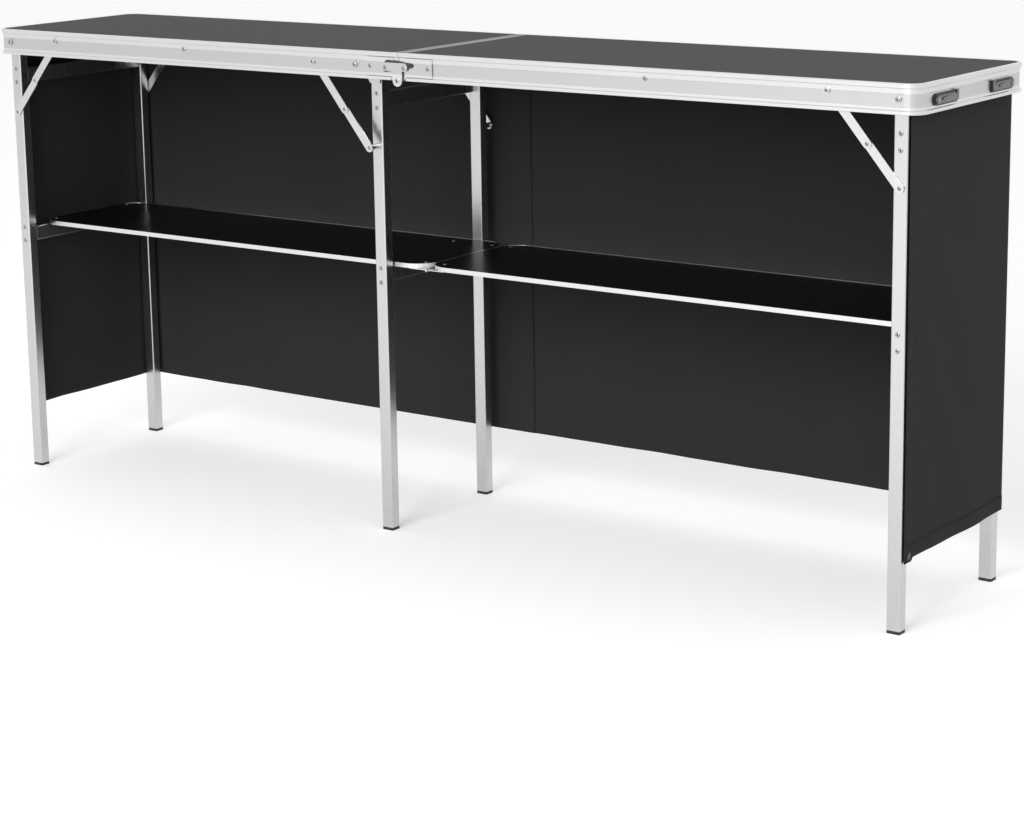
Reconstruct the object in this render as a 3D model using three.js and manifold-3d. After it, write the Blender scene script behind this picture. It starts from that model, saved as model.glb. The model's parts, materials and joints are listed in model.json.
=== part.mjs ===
// A folding portable bar: two hinged top halves on three pairs of folding legs, with a folding
// shelf and a cloth skirt. Millimetres, X along the bar, Y from the server to the guests, Z up.
import * as THREE from 'three';
import { mergeVertices } from 'three/addons/utils/BufferGeometryUtils.js';
import ManifoldModule from 'manifold-3d';

const wasm = await ManifoldModule();
wasm.setup();

// Whole bar.
const barLength = 2000;
const barWidth = 380;
const barHeight = 878;
const gap = 0.3;
const seamGap = 0.4;

// Rim.
const rimHeight = 48;
const beadDepth = 4.5;
const webThickness = 2;
const grooveDepth = 0.5;
const lowerBead = 6.5;
const upperBead = 8.5;
const upperLip = 1.5;
const ledgeWidth = 12;
const ledgeThickness = 2;
const ledgeDrop = 6.8;
const rimCornerRadius = 28;
const beadNotchHalf = 18;

// Top panel and seam rails.
const panelDrop = 0.5;
const railWall = 3;
const railLip = 13;
const railRise = 2;
const railEndGap = 4.1;
const railWallEndGap = 12.3;

// Legs.
const legX = 24;
const legY = 21;
const legWall = 1.6;
const legCorner = 2.5;
const legPivotDrop = 24.6;
const legTopAbovePivot = 9;
const outerLegInset = 37.6;
const centreLegX = -78.3;
const centrePivotX = -98.7;
const legWebGap = 9;
const legLaneGap = 0.5;
const pivotRadius = 4;
const pivotClear = 0.3;
const rivetRadius = 5.2;
const rivetHeight = 2;
const bracketThickness = 2.8;
const bracketRadius = 11;
const bracketLength = 44;
const bracketInset = 1;
const spacerRadius = 6;
const capHeight = 5;
const capPlug = 14;

// Crossbars.
const crossbarHeight = 28;
const crossbarWidth = 16;
const upperBarDrop = 77;
const crossbarCorner = 2;

// Folding stays.
const linkWidth = 15;
const linkThickness = 2;
const upperLinkLength = 104.4;
const linkPinRadius = 3;
const linkWebGap = 4;
const outerStayInset = 160.3;
const outerStayTopDrop = 17.4;
const outerStayFootDrop = 162.5;
const centreStayTopX = -195.4;
const centreStayTopDrop = 24.6;
const centreStayFootDrop = 172;
const stayPinDepth = 5;
const staySpacerRadius = 5;

// Rim hinge at the seam.
const leafThickness = 1.6;
const leafInset = 11;
const leafReach = 72.5;
const hingePinRadius = 3;
const earRadius = 8.5;
const stemHalf = 10;
const cheekLeft = -35.4;
const cheekRight = 22.1;
const cheekRise = 16.7;
const cheekHeight = 14.4;
const lockPivotX = -26.5;
const lockPivotRise = 22.2;
const lockBossRadius = 4;
const lockTipX = 32;
const lockTipRise = 27;
const leverThickness = 1.6;
const lockTailShift = 3;
const lockTailRise = 8;
const lockTailRadius = 5;

// Draw latches on the right end and their keepers on the left end.
const latchInset = 59;
const latchRise = 19;
const latchReach = 69;
const latchHalf = 9.5;
const latchPinRadius = 3;
const hookArm = 6.5;
const hookRise = 17;
const keeperStud = 3.5;

// Shelf.
const shelfTop = 495.5;
const shelfThickness = 8;
const boardInset = 0.5;
const shelfLegGap = 2.5;
const shelfOverhang = 3.6;
const shelfSeamX = 2;
const shelfCorner = 45;
const edgingThickness = 1.8;
const strapLength = 38;
const strapWidth = 18;
const strapThickness = 1.6;
const strapInset = 13.5;
const knuckleRadius = 2.2;
const knuckleDrop = 2.5;

// Cloth skirt.
const clothThickness = 1.2;
const hemThickness = 1.4;
const hemHeight = 24;
const clothBottom = 122;
const clothRise = 16;
const endClothRise = 4;
const clothLegGap = 2.3;
const clothLaneGap = 0.5;
const clothFrontInset = 5.5;
const clothCorner = 6;
const clothLap = 15;
const flapWidth = 26;
const flapDrop = 6;
const headerOverlap = 1.2;
const headerThickness = 3;

const rimBottom = barHeight - rimHeight;
const webX = barLength / 2 - beadDepth;
const webY = barWidth / 2 - beadDepth;
const pivotZ = barHeight - legPivotDrop;
const shelfBottom = shelfTop - shelfThickness;
const outerLegX = barLength / 2 - outerLegInset;
const outerLegFace = webY - legWebGap;
const centreLegFace = outerLegFace - legY - legLaneGap;
const upperBarTop = barHeight - upperBarDrop;
const upperLinkFace = webY - linkWebGap;
const outerStayTopX = barLength / 2 - outerStayInset;
const outerStayTopZ = barHeight - outerStayTopDrop;
const outerStayFootZ = barHeight - outerStayFootDrop;
const centreStayTopZ = barHeight - centreStayTopDrop;
const centreStayFootZ = barHeight - centreStayFootDrop;
const cheekBottom = rimBottom + cheekRise;
const cheekTop = cheekBottom + cheekHeight;
const lockPivotZ = rimBottom + lockPivotRise;
const lockTipZ = rimBottom + lockTipRise;
const latchPivotY = barWidth / 2 - latchInset;
const latchPivotZ = rimBottom + latchRise;
const shelfHalfWidth = centreLegFace - legY - shelfLegGap;
const shelfEnd = outerLegX + shelfOverhang;
const strapY = shelfHalfWidth - strapInset;
const clothTop = rimBottom + clothRise;
const endClothTop = rimBottom + endClothRise;
const endClothX = outerLegX + legX / 2 + clothLegGap;
const leftClothY = upperLinkFace + clothLaneGap;
const rightClothY = leftClothY + clothThickness + clothLaneGap;
const clothFront = outerLegFace - clothFrontInset;
const headerHalf = webY - rimCornerRadius;
const roundSteps = 24;
const cornerSteps = 8;

function signedVolume(points, triangles) {
  let volume = 0;
  for (const [a, b, c] of triangles) {
    const cross = new THREE.Vector3().crossVectors(points[b], points[c]);
    volume += points[a].dot(cross) / 6;
  }
  return volume;
}

function surface(points, triangles) {
  const outward = signedVolume(points, triangles) > 0;
  const order = outward ? triangles : triangles.map(([a, b, c]) => [a, c, b]);
  const geometry = new THREE.BufferGeometry().setFromPoints(points);
  geometry.setIndex(order.flat());
  geometry.computeVertexNormals();
  return geometry;
}

function solidOf(geometry) {
  const bare = geometry.clone();
  bare.deleteAttribute('normal');
  bare.deleteAttribute('uv');
  const merged = mergeVertices(bare, 1e-4);
  const vertProperties = new Float32Array(merged.attributes.position.array);
  const triVerts = new Uint32Array(merged.index.array);
  return new wasm.Manifold(new wasm.Mesh({ numProp: 3, vertProperties, triVerts }));
}

function geometryOf(solid) {
  const mesh = solid.getMesh();
  const geometry = new THREE.BufferGeometry();
  geometry.setAttribute('position', new THREE.BufferAttribute(new Float32Array(mesh.vertProperties), 3));
  geometry.setIndex(new THREE.BufferAttribute(new Uint32Array(mesh.triVerts), 1));
  geometry.computeVertexNormals();
  return geometry;
}

function joined(...geometries) {
  return geometryOf(geometries.map(solidOf).reduce((a, b) => a.add(b)));
}

function cut(geometry, ...tools) {
  return geometryOf(tools.map(solidOf).reduce((a, b) => a.subtract(b), solidOf(geometry)));
}

// A straight-edged or rounded outline through 2-D points.
function outline(points) {
  return new THREE.Shape(points.map(([u, v]) => new THREE.Vector2(u, v)));
}

function arc(u, v, radius, from, to, steps = cornerSteps) {
  const points = [];
  for (let i = 0; i <= steps; i++) {
    const angle = THREE.MathUtils.degToRad(from + ((to - from) * i) / steps);
    points.push([u + radius * Math.cos(angle), v + radius * Math.sin(angle)]);
  }
  return points;
}

function roundedRectangle(u0, v0, u1, v1, radii) {
  const [a, b, c, d] = Array.isArray(radii) ? radii : [radii, radii, radii, radii];
  return [
    ...arc(u0 + a, v0 + a, a, 180, 270),
    ...arc(u1 - b, v0 + b, b, 270, 360),
    ...arc(u1 - c, v1 - c, c, 0, 90),
    ...arc(u0 + d, v1 - d, d, 90, 180),
  ];
}

function circle(u, v, radius) {
  return arc(u, v, radius, 0, 360 - 360 / roundSteps, roundSteps - 1);
}

// The convex outline around a set of 2-D points.
function hull(points) {
  const sorted = [...points].sort((a, b) => a[0] - b[0] || a[1] - b[1]);
  const turn = (o, a, b) => (a[0] - o[0]) * (b[1] - o[1]) - (a[1] - o[1]) * (b[0] - o[0]);
  const half = (list) => {
    const chain = [];
    for (const p of list) {
      while (chain.length > 1 && turn(chain.at(-2), chain.at(-1), p) <= 1e-6) chain.pop();
      chain.push(p);
    }
    return chain.slice(0, -1);
  };
  return [...half(sorted), ...half(sorted.reverse())];
}

function extruded(points, depth, holes = []) {
  const shape = outline(points);
  for (const hole of holes) shape.holes.push(outline(hole));
  return new THREE.ExtrudeGeometry(shape, { depth, bevelEnabled: false });
}

// Outlines drawn in XY, XZ or YZ and given a thickness along the third axis.
function plateZ(points, z0, z1, holes) {
  return extruded(points, z1 - z0, holes).translate(0, 0, z0);
}

function plateY(points, ya, yb, holes) {
  const depth = Math.abs(yb - ya);
  return extruded(points, depth, holes).rotateX(Math.PI / 2).translate(0, Math.max(ya, yb), 0);
}

function plateX(points, xa, xb, holes) {
  const basis = new THREE.Matrix4().makeBasis(
    new THREE.Vector3(0, 1, 0),
    new THREE.Vector3(0, 0, 1),
    new THREE.Vector3(1, 0, 0),
  );
  const depth = Math.abs(xb - xa);
  return extruded(points, depth, holes).applyMatrix4(basis).translate(Math.min(xa, xb), 0, 0);
}

function pinY(x, z, radius, ya, yb) {
  return plateY(circle(x, z, radius), ya, yb);
}

function pinX(y, z, radius, xa, xb) {
  return plateX(circle(y, z, radius), xa, xb);
}

function block(x0, x1, y0, y1, z0, z1) {
  const box = new THREE.BoxGeometry(x1 - x0, y1 - y0, z1 - z0);
  return box.translate((x0 + x1) / 2, (y0 + y1) / 2, (z0 + z1) / 2);
}

// A profile of (outward, height) points carried along stations of a plan path.
function swept(stations, profile, closed) {
  const points = [];
  const triangles = [];
  const count = profile.length;
  for (const { x, y, nx, ny } of stations) {
    for (const [o, z] of profile) points.push(new THREE.Vector3(x + nx * o, y + ny * o, z));
  }
  const spans = closed ? stations.length : stations.length - 1;
  for (let i = 0; i < spans; i++) {
    const here = i * count;
    const next = ((i + 1) % stations.length) * count;
    for (let j = 0; j < count; j++) {
      const k = (j + 1) % count;
      triangles.push([here + j, next + j, next + k], [here + j, next + k, here + k]);
    }
  }
  if (!closed) {
    const last = (stations.length - 1) * count;
    const flat = profile.map(([o, z]) => new THREE.Vector2(o, z));
    const faces = THREE.ShapeUtils.triangulateShape(flat, []);
    const forward = !THREE.ShapeUtils.isClockWise(flat);
    for (const [a, b, c] of faces) {
      triangles.push(forward ? [a, b, c] : [a, c, b]);
      triangles.push(forward ? [last + a, last + c, last + b] : [last + a, last + b, last + c]);
    }
  }
  return surface(points, triangles);
}

function station(x, y, degrees, radius = 0) {
  const angle = THREE.MathUtils.degToRad(degrees);
  const nx = Math.cos(angle);
  const ny = Math.sin(angle);
  return { x: x + radius * nx, y: y + radius * ny, nx, ny };
}

function bend(x, y, radius, from, to) {
  const stations = [];
  for (let i = 0; i <= cornerSteps; i++) {
    stations.push(station(x, y, from + ((to - from) * i) / cornerSteps, radius));
  }
  return stations;
}

function metal(color, roughness) {
  return new THREE.MeshStandardMaterial({ color, roughness, metalness: 0.9 });
}

function dull(color, roughness) {
  return new THREE.MeshStandardMaterial({ color, roughness, metalness: 0 });
}

const aluminium = metal(0xc9cacb, 0.35);
const legMetal = metal(0xb9babb, 0.4);
const steel = metal(0x9fa1a3, 0.35);
const darkSteel = metal(0x3a3b3d, 0.45);
const topBoard = dull(0x565656, 0.5);
const shelfBoard = dull(0x161616, 0.3);
const capPlastic = dull(0x202020, 0.6);
const cloth = dull(0x303030, 0.9);

const bar = new THREE.Group();
bar.name = 'portable_bar';

function body(name, parent = bar) {
  const group = new THREE.Group();
  group.name = name;
  parent.add(group);
  return group;
}

function add(group, name, geometry, material) {
  const mesh = new THREE.Mesh(geometry, material);
  mesh.name = name;
  group.add(mesh);
  return mesh;
}

const leftHalf = body('left_half');
const rightHalf = body('right_half');
const halves = [
  { word: 'left', side: -1, group: leftHalf },
  { word: 'right', side: 1, group: rightHalf },
];
const faces = [
  { word: 'front', face: -1 },
  { word: 'back', face: 1 },
];
const legPairs = [
  { word: 'left', legAt: -outerLegX, pivotAt: -outerLegX, inward: 1, half: leftHalf, centre: false },
  { word: 'centre', legAt: centreLegX, pivotAt: centrePivotX, inward: -1, half: leftHalf, centre: true },
  { word: 'right', legAt: outerLegX, pivotAt: outerLegX, inward: -1, half: rightHalf, centre: false },
];
for (const pair of legPairs) {
  pair.stayTopX = pair.centre ? centreStayTopX : -pair.inward * outerStayTopX;
  pair.stayTopZ = pair.centre ? centreStayTopZ : outerStayTopZ;
  pair.stayFootZ = pair.centre ? centreStayFootZ : outerStayFootZ;
  pair.legFace = pair.centre ? centreLegFace : outerLegFace;
}

// Rims: a web with a bead above and below and a ledge inside that carries the panel.
const rimProfile = [
  [beadDepth - 0.5, 0],
  [beadDepth, 0.6],
  [beadDepth, lowerBead - 1.5],
  [beadDepth - 0.5, lowerBead - 0.9],
  [webThickness, lowerBead],
  [webThickness, lowerBead + 4.5],
  [webThickness - grooveDepth, lowerBead + 5.1],
  [webThickness - grooveDepth, rimHeight - upperBead - 8.1],
  [webThickness, rimHeight - upperBead - 7.5],
  [webThickness, rimHeight - upperBead],
  [beadDepth - 0.5, rimHeight - upperBead + 1],
  [beadDepth, rimHeight - upperBead + 1.5],
  [beadDepth, rimHeight - 0.8],
  [beadDepth - 0.6, rimHeight],
  [-upperLip, rimHeight],
  [-upperLip, rimHeight - ledgeDrop],
  [-ledgeWidth, rimHeight - ledgeDrop],
  [-ledgeWidth, rimHeight - ledgeDrop - ledgeThickness],
  [0, rimHeight - ledgeDrop - ledgeThickness],
  [0, 0],
].map(([o, z]) => [o, rimBottom + z]);

for (const { word, side, group } of halves) {
  const radius = rimCornerRadius - beadDepth;
  const end = side > 0 ? 0 : -180;
  const path = [
    station(side * seamGap, -webY, -90),
    ...bend(side * (webX - radius), -(webY - radius), radius, -90, end),
    ...bend(side * (webX - radius), webY - radius, radius, side > 0 ? 0 : 180, 90),
    station(side * seamGap, webY, 90),
  ];
  const tools = [];
  for (const pair of legPairs.filter((p) => p.half === group)) {
    tools.push(pinY(pair.pivotAt, pivotZ, pivotRadius + pivotClear, -barWidth, barWidth));
    tools.push(pinY(pair.stayTopX, pair.stayTopZ, linkPinRadius + pivotClear, -barWidth, barWidth));
  }
  for (const { face } of faces) {
    const near = face * (webY + webThickness - 0.1);
    const far = face * (webY + 2 * beadDepth);
    const span = [Math.min(near, far), Math.max(near, far)];
    tools.push(block(-beadNotchHalf, beadNotchHalf, ...span, rimBottom - 1, rimBottom + lowerBead + 0.5));
  }
  add(group, `rim_${word}`, cut(swept(path, rimProfile, false), ...tools), aluminium);
}

// Top panels and the rails beside the seam.
const panelUnder = barHeight - ledgeDrop + gap;
for (const { word, side, group } of halves) {
  const reachY = webY - upperLip - gap;
  const inner = seamGap + railLip + gap;
  const outer = webX - upperLip - gap;
  const round = rimCornerRadius - beadDepth - upperLip - gap;
  const corners = side > 0 ? [0.5, round, round, 0.5] : [round, 0.5, 0.5, round];
  const u0 = side > 0 ? inner : -outer;
  const u1 = side > 0 ? outer : -inner;
  const plan = roundedRectangle(u0, -reachY, u1, reachY, corners);
  const panel = plateZ(plan, panelUnder, barHeight - panelDrop);
  add(group, `top_panel_${word}`, panel, topBoard);

  const wallX = [side * seamGap, side * (seamGap + railWall)].sort((a, b) => a - b);
  const lipX = [side * seamGap, side * (seamGap + railLip)].sort((a, b) => a - b);
  const wallY = webY - railWallEndGap;
  const lipY = webY - railEndGap;
  const wall = block(...wallX, -wallY, wallY, rimBottom + railRise, barHeight - 2);
  const lip = block(...lipX, -lipY, lipY, panelUnder, barHeight);
  add(group, `seam_rail_${word}`, joined(wall, lip), aluminium);
}

// Rim hinges: layers outward of the web are the leaves, the lock lever and the cheek.
const leafIn = webThickness + gap;
const leafOut = leafIn + leafThickness;
const leverIn = beadDepth + gap;
const leverOut = leverIn + leverThickness;
const cheekIn = leverOut + gap;
const cheekOut = cheekIn + leafThickness;
const leafLow = rimBottom + lowerBead + 0.7;
const leafHigh = barHeight - upperBead - 0.4;
for (const { word, face } of faces) {
  const layer = (o) => face * (webY + o);
  const plate = plateY(
    roundedRectangle(-leafReach, leafLow, -leafInset, leafHigh, 2),
    layer(leafIn),
    layer(leafOut),
  );
  const cheekHalf = (cheekTop - cheekBottom) / 2;
  const cheekMid = (cheekTop + cheekBottom) / 2;
  const cheekOutline = [
    [-stemHalf, cheekBottom],
    ...arc(0, rimBottom, stemHalf, 180, 360, 12),
    [stemHalf, cheekBottom],
    ...arc(cheekRight - cheekHalf, cheekMid, cheekHalf, -90, 90, 10),
    ...arc(cheekLeft + cheekHalf, cheekMid, cheekHalf, 90, 270, 10),
  ];
  const cheek = plateY(cheekOutline, layer(cheekIn), layer(cheekOut));
  const boss = pinY(lockPivotX, lockPivotZ, lockBossRadius, layer(leafOut - 0.5), layer(cheekIn + 0.5));
  const shoulder = pinY(0, rimBottom, 2 * hingePinRadius, layer(leafOut + gap), layer(cheekIn + 0.5));
  const pin = pinY(0, rimBottom, hingePinRadius, layer(leafIn - 0.1), layer(cheekIn + 0.5));
  const head = pinY(0, rimBottom, 2 * hingePinRadius, layer(cheekOut - 0.5), layer(cheekOut + 1.2));
  const leftLeaf = joined(plate, cheek, boss, shoulder, pin, head);
  add(leftHalf, `hinge_leaf_left_${word}`, leftLeaf, aluminium);

  const earOutline = [
    [beadNotchHalf - 1, leafLow],
    [leafReach, leafLow],
    [leafReach, leafHigh],
    [leafInset, leafHigh],
    [leafInset, rimBottom + 12],
    ...arc(0, rimBottom, earRadius, 50, 340, 20),
  ];
  const hole = circle(0, rimBottom, hingePinRadius + pivotClear);
  const rightLeaf = plateY(earOutline, layer(leafIn), layer(leafOut), [hole]);
  add(rightHalf, `hinge_leaf_right_${word}`, rightLeaf, aluminium);

  const lever = hull([
    ...circle(lockPivotX, lockPivotZ, lockBossRadius + 4),
    ...circle(lockTipX - 4, lockTipZ, 4),
    ...circle(lockPivotX + lockTailShift, lockPivotZ + lockTailRise, lockTailRadius),
  ]);
  const leverHole = circle(lockPivotX, lockPivotZ, lockBossRadius + pivotClear);
  const lock = plateY(lever, layer(leverIn), layer(leverOut), [leverHole]);
  add(body(`lock_${word}`), `hinge_lock_${word}`, lock, darkSteel);
}

// Draw latches and their keepers.
const baseIn = webX + webThickness + gap;
const baseOut = baseIn + leafThickness;
const hookIn = webX + beadDepth + gap;
const hookOut = hookIn + leafThickness + 0.4;
for (const { word, face } of faces) {
  const along = (v) => face * (latchPivotY - v);
  const drawn = (points) => (face > 0 ? points : points.map(([u, v]) => [u, v]).reverse());
  const mirrored = (points) => drawn(points.map(([v, z]) => [along(v), latchPivotZ + z]));
  const baseOutline = mirrored([
    ...arc(0, 0, latchHalf, 90, 270, 12),
    [latchReach, -latchHalf],
    [latchReach, latchHalf],
  ]);
  const hole = circle(face * latchPivotY, latchPivotZ, latchPinRadius + pivotClear);
  add(rightHalf, `latch_base_${word}`, plateX(baseOutline, baseIn, baseOut, [hole]), darkSteel);

  const hookOutline = mirrored([
    ...arc(0, 0, hookArm, 90, 270, 12),
    [latchReach - 2, -hookArm],
    [latchReach, -hookArm + 2],
    [latchReach, hookRise - hookArm],
    [latchReach - hookArm, hookRise - hookArm],
    [latchReach - hookArm, hookArm - 4],
    [latchReach - 2 * hookArm, hookArm],
  ]);
  const arm = plateX(hookOutline, hookIn, hookOut);
  const pin = pinX(face * latchPivotY, latchPivotZ, latchPinRadius, baseIn, hookIn + 0.5);
  const head = pinX(face * latchPivotY, latchPivotZ, latchPinRadius + 1.5, hookOut - 0.5, hookOut + 0.8);
  add(body(`latch_${word}`), `latch_hook_${word}`, joined(arm, pin, head), darkSteel);

  const plateOutline = roundedRectangle(
    face * latchPivotY - latchHalf,
    latchPivotZ - latchHalf,
    face * latchPivotY + latchHalf,
    latchPivotZ + latchHalf,
    2,
  );
  const plate = plateX(plateOutline, -baseOut, -baseIn);
  const stud = pinX(face * latchPivotY, latchPivotZ, keeperStud, -hookOut, -baseOut + 0.5);
  const button = pinX(face * latchPivotY, latchPivotZ, keeperStud + 1.5, -hookOut - 0.8, -hookOut + 0.5);
  add(leftHalf, `latch_keeper_${word}`, joined(plate, stud, button), darkSteel);
}

// Legs with their pivots, foot caps and crossbars.
const headIn = webThickness + gap;
for (const pair of legPairs) {
  const group = body(`${pair.word}_legs`);
  const x0 = pair.legAt - legX / 2;
  const x1 = pair.legAt + legX / 2;
  const legTop = pivotZ + legTopAbovePivot;
  for (const { word, face } of faces) {
    const out = face * pair.legFace;
    const inn = face * (pair.legFace - legY);
    const y0 = Math.min(out, inn);
    const y1 = Math.max(out, inn);
    const skin = roundedRectangle(x0, y0, x1, y1, legCorner);
    const bore = roundedRectangle(x0 + legWall, y0 + legWall, x1 - legWall, y1 - legWall, legCorner - 1);
    const tube = plateZ(skin, capHeight + gap, legTop, [bore]);
    const stayHole = pinY(
      pair.legAt,
      pair.stayFootZ,
      linkPinRadius + pivotClear,
      out - face * 3 * legWall,
      out + face * 3 * legWall,
    );
    const pinOut = face * (webY + headIn + 0.3);
    const parts = [];
    if (pair.centre) {
      const plateOutline = hull([
        ...circle(pair.pivotAt, pivotZ, bracketRadius),
        [x0 + bracketInset, legTop - bracketLength],
        [x1 - bracketInset, legTop - bracketLength],
        [x1 - bracketInset, legTop - bracketInset],
      ]);
      const plateOut = out + face * bracketThickness;
      parts.push(plateY(plateOutline, out - face * legWall * 0.5, plateOut));
      parts.push(pinY(pair.pivotAt, pivotZ, spacerRadius, plateOut - face * 0.5, face * (webY - gap)));
      parts.push(pinY(pair.pivotAt, pivotZ, pivotRadius, face * (webY - 1), pinOut));
    } else {
      parts.push(pinY(pair.pivotAt, pivotZ, pivotRadius, out - face * legWall * 0.8, pinOut));
    }
    const headEnd = face * (webY + headIn + rivetHeight);
    parts.push(pinY(pair.pivotAt, pivotZ, rivetRadius, face * (webY + headIn), headEnd));
    add(group, `leg_${pair.word}_${word}`, joined(cut(tube, stayHole), ...parts), legMetal);

    const pad = plateZ(skin, 0, capHeight);
    const inset = legWall + gap;
    const plugOutline = roundedRectangle(x0 + inset, y0 + inset, x1 - inset, y1 - inset, legCorner - 1);
    const plug = plateZ(plugOutline, capHeight - 1, capHeight + capPlug);
    add(group, `foot_cap_${pair.word}_${word}`, joined(pad, plug), capPlastic);
  }
  const barFace = pair.legAt + (pair.inward * legX) / 2;
  const barBack = barFace - pair.inward * crossbarWidth;
  const barEnd = pair.legFace - legY - gap;
  const bars = [
    ['upper', upperBarTop],
    ['shelf', shelfBottom - gap],
  ];
  for (const [word, top] of bars) {
    const section = roundedRectangle(
      Math.min(barFace, barBack),
      top - crossbarHeight,
      Math.max(barFace, barBack),
      top,
      crossbarCorner,
    );
    add(group, `crossbar_${word}_${pair.word}`, plateY(section, -barEnd, barEnd), legMetal);
  }
}

// Folding stays: the upper link lies outside the lower link and laps over it at the knee.
for (const pair of legPairs) {
  const upperGroup = body(`${pair.word}_upper_stays`);
  const lowerGroup = body(`${pair.word}_lower_stays`);
  const runX = pair.legAt - pair.stayTopX;
  const runZ = pair.stayFootZ - pair.stayTopZ;
  const share = upperLinkLength / Math.hypot(runX, runZ);
  const kneeX = pair.stayTopX + runX * share;
  const kneeZ = pair.stayTopZ + runZ * share;
  const round = linkWidth / 2;
  const upperOutline = hull([...circle(pair.stayTopX, pair.stayTopZ, round), ...circle(kneeX, kneeZ, round)]);
  const lowerOutline = hull([...circle(kneeX, kneeZ, round), ...circle(pair.legAt, pair.stayFootZ, round)]);
  const upperIn = upperLinkFace - linkThickness;
  const lowerOut = upperIn - gap;
  const lowerIn = lowerOut - linkThickness;
  for (const { word, face } of faces) {
    const upper = plateY(upperOutline, face * upperIn, face * upperLinkFace);
    const pinEnd = face * (webY + headIn + 0.5);
    const headEnd = face * (webY + headIn + rivetHeight * 0.8);
    const pin = pinY(pair.stayTopX, pair.stayTopZ, linkPinRadius, face * (upperLinkFace - 0.5), pinEnd);
    const head = pinY(pair.stayTopX, pair.stayTopZ, rivetRadius, face * (webY + headIn), headEnd);
    add(upperGroup, `stay_upper_${pair.word}_${word}`, joined(upper, pin, head), steel);

    const lower = plateY(lowerOutline, face * lowerIn, face * lowerOut);
    const foot = [];
    const seat = pair.legFace + 0.4;
    if (pair.centre) {
      const from = face * (pair.legFace + 0.4);
      foot.push(pinY(pair.legAt, pair.stayFootZ, staySpacerRadius, from, face * (lowerIn + 0.5)));
    }
    const tip = face * (pair.legFace - stayPinDepth);
    const root = face * (pair.centre ? seat + 0.5 : lowerIn + 0.5);
    foot.push(pinY(pair.legAt, pair.stayFootZ, linkPinRadius, tip, root));
    add(lowerGroup, `stay_lower_${pair.word}_${word}`, joined(lower, ...foot), steel);
  }
}

// Shelf boards in their edgings, joined by strap hinges under the seam.
const shelfGroups = { left: body('shelf_left'), right: body('shelf_right') };
for (const { word, side } of halves) {
  const group = shelfGroups[word];
  const seam = shelfSeamX + side * seamGap;
  const u0 = side > 0 ? seam : -shelfEnd;
  const u1 = side > 0 ? shelfEnd : seam;
  const r = shelfCorner - edgingThickness;
  const inset = edgingThickness;
  const path = [
    ...bend(u0 + shelfCorner, -shelfHalfWidth + shelfCorner, r, 180, 270),
    ...bend(u1 - shelfCorner, -shelfHalfWidth + shelfCorner, r, 270, 360),
    ...bend(u1 - shelfCorner, shelfHalfWidth - shelfCorner, r, 0, 90),
    ...bend(u0 + shelfCorner, shelfHalfWidth - shelfCorner, r, 90, 180),
  ];
  const strip = [
    [0, shelfBottom],
    [edgingThickness, shelfBottom],
    [edgingThickness, shelfTop],
    [0, shelfTop],
  ];
  add(group, `shelf_edging_${word}`, swept(path, strip, true), aluminium);
  const plan = roundedRectangle(
    u0 + inset + gap,
    -shelfHalfWidth + inset + gap,
    u1 - inset - gap,
    shelfHalfWidth - inset - gap,
    r - gap,
  );
  const board = plateZ(plan, shelfBottom + boardInset, shelfTop - boardInset);
  add(group, `shelf_board_${word}`, board, shelfBoard);

  const axisZ = shelfBottom - knuckleDrop;
  for (const { word: where, face } of faces) {
    const inner = strapY - strapWidth / 2;
    const outer = strapY + strapWidth / 2;
    const leafTop = shelfBottom - 0.2;
    const reach = [shelfSeamX + side, shelfSeamX + side * strapLength].sort((a, b) => a - b);
    const near = side < 0 ? strapY + 0.2 : inner;
    const far = side < 0 ? outer : strapY - 0.2;
    const yNear = Math.min(face * near, face * far);
    const yFar = Math.max(face * near, face * far);
    const clear = [shelfSeamX + side * 3, shelfSeamX + side * strapLength].sort((a, b) => a - b);
    const yIn = Math.min(face * inner, face * outer);
    const yOut = Math.max(face * inner, face * outer);
    const leaf = block(...clear, yIn, yOut, leafTop - strapThickness, leafTop);
    const tongue = block(...reach, yNear, yFar, leafTop - strapThickness, leafTop);
    const knuckle = pinY(shelfSeamX, axisZ, knuckleRadius, yNear, yFar);
    add(group, `shelf_hinge_${word}_${where}`, joined(leaf, tongue, knuckle), steel);
  }
}

// Skirt: one cloth round the left end and left back, one on the right back, one on the right end.
const hemProfile = [
  [0, clothBottom],
  [hemThickness, clothBottom],
  [hemThickness, clothBottom + hemHeight],
  [clothThickness, clothBottom + hemHeight + 1.5],
  [clothThickness, clothTop],
  [0, clothTop],
];
const leftPath = [
  station(-endClothX, -clothFront, 180),
  ...bend(-endClothX + clothCorner, leftClothY - clothCorner, clothCorner, 180, 90),
  station(clothLap, leftClothY, 90),
];
add(leftHalf, 'skirt_left', swept(leftPath, hemProfile, false), cloth);
const rightPath = [station(1, rightClothY, 90), station(endClothX - gap, rightClothY, 90)];
const thinHem = hemProfile.map(([o, z]) => [Math.min(o, clothThickness), z]);
add(rightHalf, 'skirt_right_back', swept(rightPath, thinHem, false), cloth);
const endOutline = [
  [-clothFront, clothBottom - flapDrop],
  [-clothFront + flapWidth, clothBottom - flapDrop],
  [-clothFront + flapWidth, clothBottom],
  [leftClothY - gap, clothBottom],
  [leftClothY - gap, endClothTop],
  [-clothFront, endClothTop],
];
const endCloth = plateX(endOutline, endClothX, endClothX + clothThickness);
add(body('right_end_skirt'), 'skirt_right_end', endCloth, cloth);
const header = block(
  endClothX - headerOverlap,
  webX - gap,
  -headerHalf,
  headerHalf,
  endClothTop + gap,
  endClothTop + gap + headerThickness,
);
add(rightHalf, 'skirt_header_right', header, darkSteel);

export default bar;
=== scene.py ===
"""Looks of a folding portable bar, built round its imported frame. Metres, X along the bar, Z up."""

import json
import math
from collections import namedtuple

import bpy
import numpy as np
from mathutils import Matrix, Vector


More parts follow.
